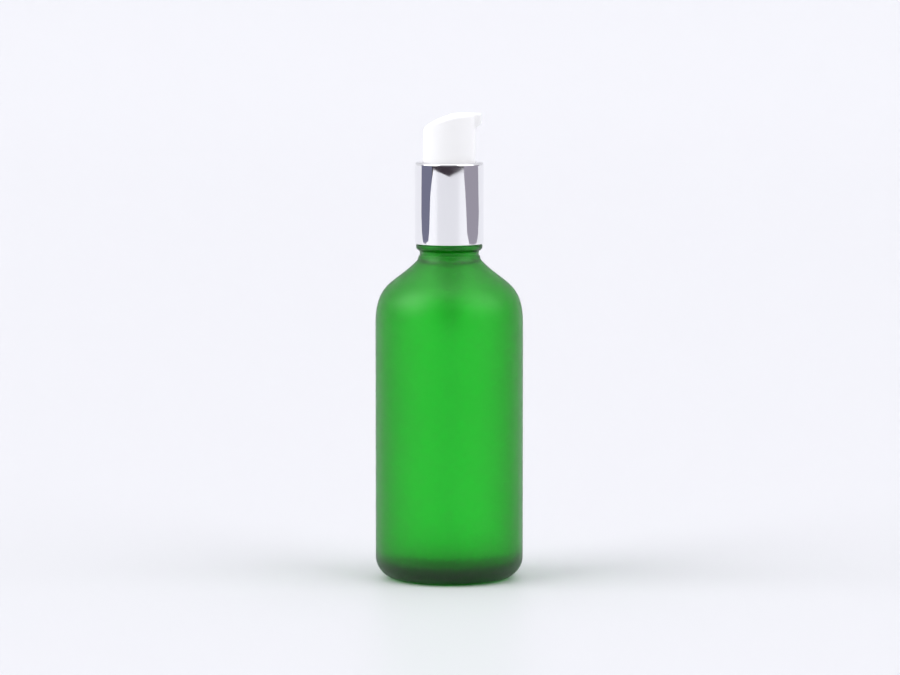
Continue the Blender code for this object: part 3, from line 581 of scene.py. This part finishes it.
# %% Dip tube
tube_radius = tube_high.x
TUBE_WALL, FOOT_SLOPE, CUT_SOFT = 0.65 * MM, 0.6, 0.08 * MM
tube_bore = tube_radius - TUBE_WALL
tube_outline = [
    (tube_bore, tube_low.z),
    (tube_radius - CUT_SOFT, tube_low.z),
    (tube_radius, tube_low.z + CUT_SOFT),
    *straight((tube_radius, tube_low.z + CUT_SOFT), (tube_radius, tube_high.z), 12),
    (tube_radius, tube_high.z),
    (tube_bore, tube_high.z),
    *straight((tube_bore, tube_high.z), (tube_bore, tube_low.z), 12),
]
dip_tube_fine = lathe("dip_tube_fine", tube_outline, 64, sharp=50)
for vertex in dip_tube_fine.data.vertices:
    if vertex.co.z < tube_low.z + 0.2 * MM:
        vertex.co.z += (vertex.co.x + tube_radius) * FOOT_SLOPE
stands_for(dip_tube_fine, "pump", "dip_tube")

# %% [markdown]
# ## Return spring
#
# A compression spring is wire wound on a rod: open coils with one closed coil at each end, so
# that it stands square. A curve with a bevel would do, but the tube is written out ring by ring
# here, because the spring also has to shorten when the head is pressed, and that needs a mesh.

# %% Return spring
spring_low, spring_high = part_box("return_spring")
# The wire's radius.
WIRE = 0.3 * MM
OPEN_TURNS, STEPS, SIDES = 5, 56, 14
coil_radius = spring_high.x - WIRE
closed_pitch = 2.05 * WIRE
open_pitch = (spring_high.z - spring_low.z - 2 * WIRE - 2 * closed_pitch) / OPEN_TURNS
way = []
height = spring_low.z + WIRE
for i in range((OPEN_TURNS + 2) * STEPS + 1):
    angle = math.tau * i / STEPS
    way.append(Vector((coil_radius * math.cos(angle), coil_radius * math.sin(angle), height)))
    at_end = i < STEPS or i >= (OPEN_TURNS + 1) * STEPS
    height += (closed_pitch if at_end else open_pitch) / STEPS
spots, faces = [], []
for i, spot in enumerate(way):
    outward = Vector((spot.x, spot.y, 0)).normalized()
    along = (way[min(i + 1, len(way) - 1)] - way[max(i - 1, 0)]).normalized()
    upward = along.cross(outward).normalized()
    for j in range(SIDES):
        a = math.tau * j / SIDES
        spots.append(spot + WIRE * (math.cos(a) * outward + math.sin(a) * upward))
        if i:
            k, m = (i - 1) * SIDES, (j + 1) % SIDES
            faces.append((k + j, k + m, k + SIDES + m, k + SIDES + j))
faces.append(tuple(range(SIDES)))
faces.append(tuple(range(len(spots) - SIDES, len(spots))))
mesh = bpy.data.meshes.new("spring_coil")
mesh.from_pydata(spots, [], faces)
spring_coil = finish_mesh(mesh, "spring_coil", 60)
stands_for(spring_coil, "pump", "return_spring")
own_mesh(spring_coil)

# %% [markdown]
# ## Shared effects
#
# Real surfaces are never one even value. These small groups are built once and placed in several
# materials, each with its own numbers: a soft mottle, a fine bump, a mask for worn edges and a
# mask for settled dust. A group only puts out values, masks and normals. The shader itself stays
# in each material, where its plain settings are easy to find.


# %% Group helpers
def new_group(name, inputs, outputs):
    """An empty shader group with number inputs and the named outputs."""
    tree = bpy.data.node_groups.new(name, "ShaderNodeTree")
    for label, value in inputs.items():
        socket = tree.interface.new_socket(label, in_out="INPUT", socket_type="NodeSocketFloat")
        socket.default_value = value
    for label, kind in outputs.items():
        tree.interface.new_socket(label, in_out="OUTPUT", socket_type=kind)
    return tree, tree.nodes.new("NodeGroupInput"), tree.nodes.new("NodeGroupOutput")


def node(tree, kind, **settings):
    """A new node with these settings."""
    made = tree.nodes.new(kind)
    for key, value in settings.items():
        setattr(made, key, value)
    return made


def object_noise(tree, scale, detail=4.0, roughness=0.55):
    """A noise fixed to the piece itself. scale is a socket or a number of grains per metre."""
    where = node(tree, "ShaderNodeTexCoord")
    noise = node(tree, "ShaderNodeTexNoise")
    noise.inputs["Detail"].default_value = detail
    noise.inputs["Roughness"].default_value = roughness
    tree.links.new(where.outputs["Object"], noise.inputs["Vector"])
    if isinstance(scale, (int, float)):
        noise.inputs["Scale"].default_value = scale
    else:
        tree.links.new(scale, noise.inputs["Scale"])
    return noise


def spread(tree, value, low, high, from_low=0.0, from_high=1.0):
    """Maps a value onto a new range; low and high are sockets or numbers."""
    ranged = node(tree, "ShaderNodeMapRange")
    tree.links.new(value, ranged.inputs["Value"])
    for label, end in (
        ("From Min", from_low),
        ("From Max", from_high),
        ("To Min", low),
        ("To Max", high),
    ):
        if isinstance(end, (int, float)):
            ranged.inputs[label].default_value = end
        else:
            tree.links.new(end, ranged.inputs[label])
    return ranged.outputs["Result"]


# %% Mottle: a value that drifts between two ends
mottle, given, result = new_group(
    "mottle", {"Scale": 300.0, "Low": 0.2, "High": 0.3}, {"Value": "NodeSocketFloat"}
)
cloud = object_noise(mottle, given.outputs["Scale"], 5.0)
drift = spread(mottle, cloud.outputs["Fac"], given.outputs["Low"], given.outputs["High"], 0.3, 0.7)
mottle.links.new(drift, result.inputs["Value"])
print("built", mottle.name)

# %% Grain: a fine bump from two sizes of noise
grain, given, result = new_group(
    "grain",
    {"Fine Scale": 4000.0, "Broad Scale": 250.0, "Fine Height": 0.5, "Broad Height": 0.5},
    {"Height": "NodeSocketFloat"},
)
fine = object_noise(grain, given.outputs["Fine Scale"], 3.0)
broad = object_noise(grain, given.outputs["Broad Scale"], 2.0)
fine_part = node(grain, "ShaderNodeMath", operation="MULTIPLY")
broad_part = node(grain, "ShaderNodeMath", operation="MULTIPLY")
both = node(grain, "ShaderNodeMath", operation="ADD")
grain.links.new(fine.outputs["Fac"], fine_part.inputs[0])
grain.links.new(given.outputs["Fine Height"], fine_part.inputs[1])
grain.links.new(broad.outputs["Fac"], broad_part.inputs[0])
grain.links.new(given.outputs["Broad Height"], broad_part.inputs[1])
grain.links.new(fine_part.outputs[0], both.inputs[0])
grain.links.new(broad_part.outputs[0], both.inputs[1])
grain.links.new(both.outputs[0], result.inputs["Height"])
print("built", grain.name)

# %% Edge mask: 1 along rounded edges, broken up by noise
# Pointiness is about one half where a surface is flat.
FLAT = 0.505
edges, given, result = new_group(
    "edge_mask", {"Spread": 0.06, "Breakup": 500.0}, {"Mask": "NodeSocketFloat"}
)
shape = node(edges, "ShaderNodeNewGeometry")
reach = node(edges, "ShaderNodeMath", operation="ADD")
reach.inputs[0].default_value = FLAT
edges.links.new(given.outputs["Spread"], reach.inputs[1])
mask = spread(edges, shape.outputs["Pointiness"], 0.0, 1.0, FLAT, reach.outputs[0])
chips = object_noise(edges, given.outputs["Breakup"], 4.0)
broken = node(edges, "ShaderNodeMath", operation="MULTIPLY", use_clamp=True)
edges.links.new(mask, broken.inputs[0])
edges.links.new(chips.outputs["Fac"], broken.inputs[1])
edges.links.new(broken.outputs[0], result.inputs["Mask"])
print("built", edges.name)

# %% Dust mask: a thin, patchy film on whatever faces up
dust, given, result = new_group(
    "dust_mask", {"Amount": 0.1, "Scale": 600.0}, {"Mask": "NodeSocketFloat"}
)
shape = node(dust, "ShaderNodeNewGeometry")
split = node(dust, "ShaderNodeSeparateXYZ")
dust.links.new(shape.outputs["Normal"], split.inputs[0])
up = spread(dust, split.outputs["Z"], 0.0, 1.0, 0.3, 1.0)
specks = object_noise(dust, given.outputs["Scale"], 6.0, 0.7)
patches = spread(dust, specks.outputs["Fac"], 0.0, 1.0, 0.45, 0.7)
film = node(dust, "ShaderNodeMath", operation="MULTIPLY", use_clamp=True)
amount = node(dust, "ShaderNodeMath", operation="MULTIPLY", use_clamp=True)
dust.links.new(up, film.inputs[0])
dust.links.new(patches, film.inputs[1])
dust.links.new(film.outputs[0], amount.inputs[0])
dust.links.new(given.outputs["Amount"], amount.inputs[1])
dust.links.new(amount.outputs[0], result.inputs["Mask"])
print("built", dust.name)


# %% Material helpers
def new_material(name, colour, roughness, **plain):
    """A material with one Principled shader and its plain settings."""
    made = bpy.data.materials.new(name)
    made.use_nodes = True
    shader = made.node_tree.nodes["Principled BSDF"]
    shader.inputs["Base Color"].default_value = (*colour, 1)
    shader.inputs["Roughness"].default_value = roughness
    for label, value in plain.items():
        shader.inputs[label.replace("_", " ")].default_value = value
    return made, made.node_tree, shader


def place(tree, group, **values):
    """Places one of the shared groups in a material with its own numbers."""
    placed = node(tree, "ShaderNodeGroup", node_tree=group)
    for label, value in values.items():
        placed.inputs[label.replace("_", " ")].default_value = value
    return placed


def blend_colours(tree, mask, base, over):
    """One colour over another by a mask; each is a socket or three numbers."""
    mix = node(tree, "ShaderNodeMix", data_type="RGBA")
    tree.links.new(mask, mix.inputs["Factor"])
    for label, colour in (("A", base), ("B", over)):
        slot = [s for s in mix.inputs if s.name == label and s.type == "RGBA"][0]
        if isinstance(colour, tuple):
            slot.default_value = (*colour, 1)
        else:
            tree.links.new(colour, slot)
    return [s for s in mix.outputs if s.type == "RGBA"][0]


def bump_from(tree, shader, height, strength, distance):
    """Feeds a height into the shader's normal as a bump of a real depth."""
    bump = node(tree, "ShaderNodeBump")
    bump.inputs["Strength"].default_value = strength
    bump.inputs["Distance"].default_value = distance
    tree.links.new(height, bump.inputs["Height"])
    tree.links.new(bump.outputs["Normal"], shader.inputs["Normal"])


def dress(piece, material):
    """Gives the piece this one material."""
    piece.data.materials.clear()
    piece.data.materials.append(material)


# %% [markdown]
# ## Frosted green glass
#
# Acid frosting turns the surface into millions of tiny pits, so light goes through but is
# scattered, and nothing behind the glass can be made out. The green isn't on the surface: it is
# in the glass, and takes red and blue out of the light for every millimetre that it travels.
# A Volume Absorption inside a clear, rough shell does just that. It makes the middle of the
# bottle bright, its sides deeper, where light runs along the wall, and its solid base nearly
# black, all without painting anything. One mottle varies how deep the etch is, and a much
# broader one makes the glass slightly uneven from side to side.

# %% Frosted glass
# Light lost per metre of glass: nearly all red, some green, most blue.
GLASS_GREEN = (0.02, 0.925, 0.2)
GLASS_DEPTH = 1100.0
frosted, tree, shader = new_material(
    "frosted_green_glass", (0.97, 1.0, 0.97), 0.42, Transmission_Weight=1.0, IOR=1.45
)
absorb = node(tree, "ShaderNodeVolumeAbsorption")
absorb.inputs["Color"].default_value = (*GLASS_GREEN, 1)
absorb.inputs["Density"].default_value = GLASS_DEPTH
tree.links.new(absorb.outputs["Volume"], tree.nodes["Material Output"].inputs["Volume"])
rough = place(tree, mottle, Scale=420.0, Low=0.38, High=0.47)
tree.links.new(rough.outputs["Value"], shader.inputs["Roughness"])
etched = place(tree, mottle, Scale=900.0, Low=0.0, High=1.0)
tint = blend_colours(tree, etched.outputs["Value"], (0.92, 0.98, 0.93), (1.0, 1.0, 1.0))
uneven = place(tree, mottle, Scale=26.0, Low=0.0, High=1.0)
depth = blend_colours(tree, uneven.outputs["Value"], (0.84, 0.945, 0.85), tint)
tree.links.new(depth, shader.inputs["Base Color"])
pits = place(tree, grain, Fine_Scale=5200.0, Broad_Scale=260.0, Fine_Height=0.6, Broad_Height=0.9)
bump_from(tree, shader, pits.outputs["Height"], 0.2, 0.05 * MM)
dress(bottle_glass, frosted)

# %% [markdown]
# ## Polished aluminium
#
# The collar is bright-dipped and anodised, so it is nearly a mirror. What tells it from chrome is
# its paler, whiter colour, very fine lines from polishing that run round it, and a few dull
# patches where hands have touched it. The lines are noise squeezed along the axis.

# %% Polished aluminium
mirror, tree, shader = new_material("mirror_aluminium", (0.89, 0.89, 0.905), 0.015, Metallic=1.0)
smears = place(tree, mottle, Scale=120.0, Low=0.006, High=0.03)
tree.links.new(smears.outputs["Value"], shader.inputs["Roughness"])
worn = place(tree, edges, Spread=0.08, Breakup=700.0)
tone = blend_colours(tree, worn.outputs["Mask"], (0.89, 0.89, 0.905), (0.95, 0.95, 0.958))
tree.links.new(tone, shader.inputs["Base Color"])
where = node(tree, "ShaderNodeTexCoord")
squeeze = node(tree, "ShaderNodeMapping")
squeeze.inputs["Scale"].default_value = (60, 60, 9000)
lines = node(tree, "ShaderNodeTexNoise")
lines.inputs["Scale"].default_value = 1.0
lines.inputs["Detail"].default_value = 3.0
tree.links.new(where.outputs["Object"], squeeze.inputs["Vector"])
tree.links.new(squeeze.outputs["Vector"], lines.inputs["Vector"])
bump_from(tree, shader, lines.outputs["Fac"], 0.1, 0.0003 * MM)
dress(collar_metal, mirror)

# %% [markdown]
# ## White and natural plastics
#
# The head, nozzle, screw ring and the post inside the stem are white polypropylene: soft gloss
# and a faint orange-peel from the mould. The housing, its cap and the stem are the same plastic
# without pigment, which is milky, lets a little light through and looks slightly bluish. The dip
# tube is a much clearer plastic, and the seals are softer and duller.


# %% Plastics
def moulded_plastic(name, colour, shade, roughness, clear, dusty):
    """A moulded plastic with drifting gloss, orange-peel, paler edges and a trace of dust."""
    made, tree, shader = new_material(
        name, colour, roughness, Transmission_Weight=clear, IOR=1.49
    )
    gloss = place(tree, mottle, Scale=350.0, Low=roughness - 0.04, High=roughness + 0.05)
    tree.links.new(gloss.outputs["Value"], shader.inputs["Roughness"])
    cloudy = place(tree, mottle, Scale=90.0, Low=0.0, High=1.0)
    ground = blend_colours(tree, cloudy.outputs["Value"], colour, shade)
    film = place(tree, dust, Amount=dusty, Scale=900.0)
    dusted = blend_colours(tree, film.outputs["Mask"], ground, (0.7, 0.7, 0.69))
    pale = place(tree, edges, Spread=0.07, Breakup=420.0)
    whitened = tuple(min(1.0, c * 1.008) for c in colour)
    final = blend_colours(tree, pale.outputs["Mask"], dusted, whitened)
    tree.links.new(final, shader.inputs["Base Color"])
    peel = place(
        tree, grain, Fine_Scale=2600.0, Broad_Scale=420.0, Fine_Height=0.35, Broad_Height=0.8
    )
    bump_from(tree, shader, peel.outputs["Height"], 0.2, 0.02 * MM)
    return made


white_pp = moulded_plastic(
    "white_polypropylene", (0.975, 0.975, 0.972), (0.965, 0.965, 0.965), 0.35, 0.0, 0.02
)
cloudy_pp = moulded_plastic(
    "natural_polypropylene", (0.97, 0.985, 0.985), (0.94, 0.96, 0.965), 0.32, 0.25, 0.0
)
tube_pe = moulded_plastic(
    "tube_polyethylene", (0.99, 0.995, 0.995), (0.97, 0.98, 0.985), 0.12, 0.98, 0.0
)
soft_pe = moulded_plastic(
    "seal_polyethylene", (0.8, 0.85, 0.88), (0.76, 0.81, 0.85), 0.5, 0.4, 0.0
)
for piece in (pump_button, nozzle_tip, screw_ring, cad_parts["valve_post"]):
    dress(piece, white_pp)
for piece in ("pump_housing", "housing_cap", "stem"):
    dress(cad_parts[piece], cloudy_pp)
dress(dip_tube_fine, tube_pe)
for piece in ("neck_gasket", "piston_seal"):
    dress(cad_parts[piece], soft_pe)

# %% [markdown]
# ## Spring steel
#
# The return spring and the valve ball are stainless. Drawn wire keeps faint lines along it, and
# both pieces carry a thin film of oil, so they are bright but not perfectly clean.

# %% Steel
steel, tree, shader = new_material("stainless_steel", (0.62, 0.61, 0.6), 0.24, Metallic=1.0)
film = place(tree, mottle, Scale=900.0, Low=0.18, High=0.32)
tree.links.new(film.outputs["Value"], shader.inputs["Roughness"])
worn = place(tree, edges, Spread=0.1, Breakup=1500.0)
bright = blend_colours(tree, worn.outputs["Mask"], (0.6, 0.59, 0.58), (0.78, 0.77, 0.76))
tree.links.new(bright, shader.inputs["Base Color"])
drawn = place(tree, grain, Fine_Scale=6000.0, Broad_Scale=1200.0, Fine_Height=0.6, Broad_Height=0.4)
bump_from(tree, shader, drawn.outputs["Height"], 0.2, 0.01 * MM)
dress(spring_coil, steel)
dress(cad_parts["inlet_ball"], steel)
print("materials:", ", ".join(sorted(m.name for m in bpy.data.materials if m.users)))

# %% [markdown]
# ## The studio
#
# A mirror shows the room, so the room matters as much as the lamps. The bottle stands on a white
# paper sweep that curves up behind it. Seen in the collar, the paper is the bright panel in the
# middle, so the outline of its front and sides is drawn as distances from the bottle by
# direction. Directions are in degrees from the camera's side, with the right hand positive.

# %% Sweep
PAPER_EDGE = [
    (-108, 1.60),
    (-104, 1.42),
    (-98, 1.345),
    (-86, 1.335),
    (-74, 1.36),
    (-70, 1.45),
    (-66, 1.78),
    (-55, 2.075),
    (0, 1.99),
    (49, 2.075),
    (55, 1.80),
    (62, 1.42),
    (70, 1.335),
    (88, 1.32),
    (104, 1.34),
    (112, 1.40),
    (117, 1.60),
]
HINGE_Y, CURVE_RADIUS, WALL_TOP = 2.2, 2.5, 3.0
WALL_HALF = 2.2
outline = []
for turn in np.arange(PAPER_EDGE[0][0], PAPER_EDGE[-1][0] + 0.5, 1.0):
    far = np.interp(turn, *zip(*PAPER_EDGE))
    outline.append((far * math.sin(math.radians(turn)), -far * math.cos(math.radians(turn)), 0.0))
outline += [(WALL_HALF, outline[-1][1] + 0.1, 0.0), (WALL_HALF, HINGE_Y, 0.0)]
outline += [(-WALL_HALF, HINGE_Y, 0.0), (-WALL_HALF, outline[0][1] + 0.1, 0.0)]
rise = [
    (HINGE_Y + CURVE_RADIUS * math.sin(a), CURVE_RADIUS - CURVE_RADIUS * math.cos(a))
    for a in [math.radians(90 * i / 240) for i in range(241)]
]
rise.append((HINGE_Y + CURVE_RADIUS, WALL_TOP))
spots = outline + [(x, y, z) for y, z in rise for x in (-WALL_HALF, WALL_HALF)]
first = len(outline)
sheets = [(0, *range(1, first))]
sheets += [
    (first + 2 * i, first + 2 * i + 1, first + 2 * i + 3, first + 2 * i + 2)
    for i in range(len(rise) - 1)
]
mesh = bpy.data.meshes.new("paper_sweep")
mesh.from_pydata(spots, [], sheets)
sweep = finish_mesh(mesh, "paper_sweep")
sweep.data.shade_flat()
PAPER = (0.695, 0.697, 0.727)
paper, tree, shader = new_material("white_paper", PAPER, 0.45, Specular_IOR_Level=0.1)
dress(sweep, paper)

# %% [markdown]
# ## Light from the room
#
# Two wide soft boxes stand to the left and right, in front of the bottle and above it, and the
# left one is stronger. The ceiling glows softly. The middle of the room, behind the camera, is
# dark, and so are the two strips under the soft boxes. Everything else is pale. The world shader
# paints these as patches by direction and height, in degrees, which costs nothing to render and
# gives no grain. Where the camera looks past the paper, it sees nearly the same pale tone.


# %% Patches of light and dark
def patch_mask(tree, value, low, high, soft):
    """1 where the value lies between low and high, with soft ends."""
    masks = []
    for start, end in ((low - soft, low + soft), (high + soft, high - soft)):
        ranged = node(tree, "ShaderNodeMapRange", interpolation_type="SMOOTHSTEP")
        ranged.inputs["From Min"].default_value = start
        ranged.inputs["From Max"].default_value = end
        tree.links.new(value, ranged.inputs["Value"])
        masks.append(ranged.outputs["Result"])
    return multiply(tree, *masks)


def multiply(tree, a, b):
    """The product of two sockets."""
    product = node(tree, "ShaderNodeMath", operation="MULTIPLY")
    tree.links.new(a, product.inputs[0])
    tree.links.new(b, product.inputs[1])
    return product.outputs[0]


PALE = (0.74, 0.74, 0.77)
PAST_PAPER = (0.86, 0.86, 0.92)
ROOM_STRENGTH = 1.04
# Each patch: direction from and to, height from and to, softness, colour.
ROOM = [
    (-66, 66, -30, 50, 4, (0.36, 0.36, 0.37)),
    (-190, 190, 56, 100, 8, (1.3, 1.3, 1.32)),
    (-66, 66, -30, 12, 4, (0.045, 0.035, 0.045)),
    (-107.3, -60, -30, 12, 0.8, (0.175, 0.18, 0.26)),
    (50, 120, -30, 12, 0.8, (0.33, 0.31, 0.37)),
    (-100, -42, 14, 60, 4, (3.3, 3.3, 3.33)),
    (33, 95, 14, 60, 4, (2.3, 2.3, 2.34)),
]
world = bpy.data.worlds.new("studio")
bpy.context.scene.world = world
world.use_nodes = True
tree = world.node_tree
where = node(tree, "ShaderNodeTexCoord")
split = node(tree, "ShaderNodeSeparateXYZ")
tree.links.new(where.outputs["Generated"], split.inputs[0])
ahead = node(tree, "ShaderNodeMath", operation="MULTIPLY")
ahead.inputs[1].default_value = -1.0
tree.links.new(split.outputs["Y"], ahead.inputs[0])
turn = node(tree, "ShaderNodeMath", operation="ARCTAN2")
tree.links.new(split.outputs["X"], turn.inputs[0])
tree.links.new(ahead.outputs[0], turn.inputs[1])
lift = node(tree, "ShaderNodeMath", operation="ARCSINE")
tree.links.new(split.outputs["Z"], lift.inputs[0])
degrees = []
for angle in (turn, lift):
    made = node(tree, "ShaderNodeMath", operation="DEGREES")
    tree.links.new(angle.outputs[0], made.inputs[0])
    degrees.append(made.outputs[0])
room_colour = PALE
for left, right, low, high, soft, colour in ROOM:
    mask = multiply(
        tree,
        patch_mask(tree, degrees[0], left, right, soft),
        patch_mask(tree, degrees[1], low, high, soft),
    )
    room_colour = blend_colours(tree, mask, room_colour, colour)
sight = node(tree, "ShaderNodeLightPath")
seen = blend_colours(tree, sight.outputs["Is Camera Ray"], room_colour, PAST_PAPER)
tree.links.new(seen, tree.nodes["Background"].inputs["Color"])
tree.nodes["Background"].inputs["Strength"].default_value = ROOM_STRENGTH
print("room patches:", len(ROOM))

# %% [markdown]
# ## The camera
#
# A long lens from a little above the bottle keeps its sides nearly parallel. It looks at the
# middle of the bottle from about one and a third metres away.

# %% Camera
lens = bpy.data.cameras.new("camera")
lens.lens = 178.0
lens.sensor_width = 36.0
lens.shift_x = 0.0008
lens.clip_end = 30.0
camera = bpy.data.objects.new("camera", lens)
bpy.context.scene.collection.objects.link(camera)
camera.location = (0, -1.35, 0.207)
target = Vector((0, 0, 0.0737))
camera.rotation_euler = (target - camera.location).to_track_quat("-Z", "Y").to_euler()
bpy.context.scene.camera = camera
bpy.context.scene.view_settings.view_transform = "Standard"
